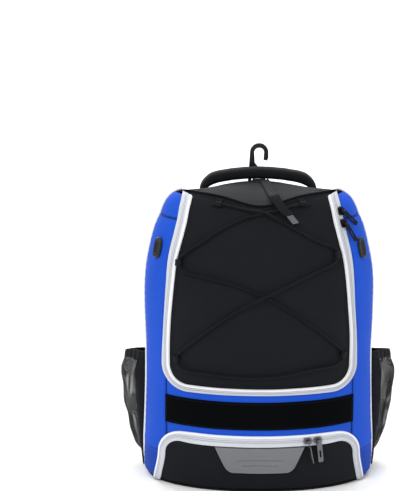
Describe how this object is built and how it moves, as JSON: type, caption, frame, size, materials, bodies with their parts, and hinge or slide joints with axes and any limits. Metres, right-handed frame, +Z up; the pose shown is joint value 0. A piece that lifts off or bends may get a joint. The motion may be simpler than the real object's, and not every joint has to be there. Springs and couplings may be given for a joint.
{
  "type": "baseball bat backpack",
  "caption": "Blue and black bat backpack with a white zipped front, a shoe compartment, laced front flap, mesh bat pockets and a fence hook.",
  "frame": {"origin": "on the floor under the body, on the piping's plane and the middle of the width", "axes": "+X right seen from the front, -Y out of the front, +Z up"},
  "size_m": [0.4182, 0.2564, 0.488],
  "materials": {
    "blue_fabric": "matt woven polyester",
    "black_fabric": "matt woven polyester",
    "black_mesh": "open knitted mesh",
    "black_loop": "brushed loop fastener",
    "black_webbing": "ribbed webbing and braid",
    "white_tape": "zipper tape with coil",
    "white_piping": "covered cord",
    "grey_rubber": "moulded matt",
    "black_plastic": "moulded satin",
    "grey_metal": "dark satin"
  },
  "bodies": {
    "root": {"front_flap": "black_fabric", "front_panel": "blue_fabric", "shoe_flap": "black_fabric", "gusset_left": "blue_fabric", "gusset_right": "blue_fabric", "shoulder_cap_left": "blue_fabric", "shoulder_cap_right": "blue_fabric", "piping_left": "white_piping", "piping_right": "white_piping", "side_panel_left": "black_fabric", "side_panel_right": "black_fabric", "front_zipper": "white_tape", "shoe_zipper": "white_tape", "loop_strip": "black_loop", "badge": "grey_rubber", "base_panel": "black_fabric", "back_panel": "black_fabric", "hood": "black_fabric", "back_pad_left": "black_mesh", "back_pad_right": "black_mesh", "mesh_pocket_left": "black_mesh", "mesh_pocket_right": "black_mesh", "pocket_hem_left": "black_webbing", "pocket_hem_right": "black_webbing", "bat_sleeve_left": "black_webbing", "bat_sleeve_right": "black_webbing", "eyelet_left": "black_plastic", "eyelet_right": "black_plastic", "grab_handle": "black_webbing", "fence_hook": "black_plastic", "hook_tab": "black_webbing", "glove_strap": "black_webbing", "strap_end": "grey_metal", "lacing_cord": "black_webbing", "cord_loop_1": "black_webbing", "cord_loop_2": "black_webbing", "cord_loop_3": "black_webbing", "cord_loop_4": "black_webbing", "cord_loop_5": "black_webbing", "cord_loop_6": "black_webbing", "zip_slider_1": "grey_metal", "zip_slider_2": "grey_metal", "zip_slider_3": "grey_metal", "zip_slider_4": "grey_metal", "shoulder_pad_left": "black_fabric", "shoulder_pad_right": "black_fabric", "shoulder_webbing_left": "black_webbing", "shoulder_webbing_right": "black_webbing", "ladder_buckle_left": "black_plastic", "ladder_buckle_right": "black_plastic"},
    "pull_1": {"zip_pull_1": "grey_metal"},
    "pull_2": {"zip_pull_2": "grey_metal"},
    "pull_3": {"zip_pull_3": "grey_metal"},
    "pull_4": {"zip_pull_4": "grey_metal"}
  },
  "joints": [
    {"name": "pull_1_hinge", "type": "hinge", "parent": "root", "child": "pull_1", "pos_m": [0.12019, -0.0531, 0.4144], "axis": [-0.3789, -0.6301, -0.6778], "range_deg": [0, 140]},
    {"name": "pull_2_hinge", "type": "hinge", "parent": "root", "child": "pull_2", "pos_m": [0.12377, -0.05891, 0.39742], "axis": [-0.589, -0.6736, -0.4465], "range_deg": [0, 140]},
    {"name": "pull_3_hinge", "type": "hinge", "parent": "root", "child": "pull_3", "pos_m": [0.07172, -0.11047, 0.07993], "axis": [-0.9396, -0.272, -0.2079], "range_deg": [0, 140]},
    {"name": "pull_4_hinge", "type": "hinge", "parent": "root", "child": "pull_4", "pos_m": [0.08679, -0.10551, 0.07996], "axis": [-0.9291, -0.3426, -0.1392], "range_deg": [0, 140]}
  ]
}
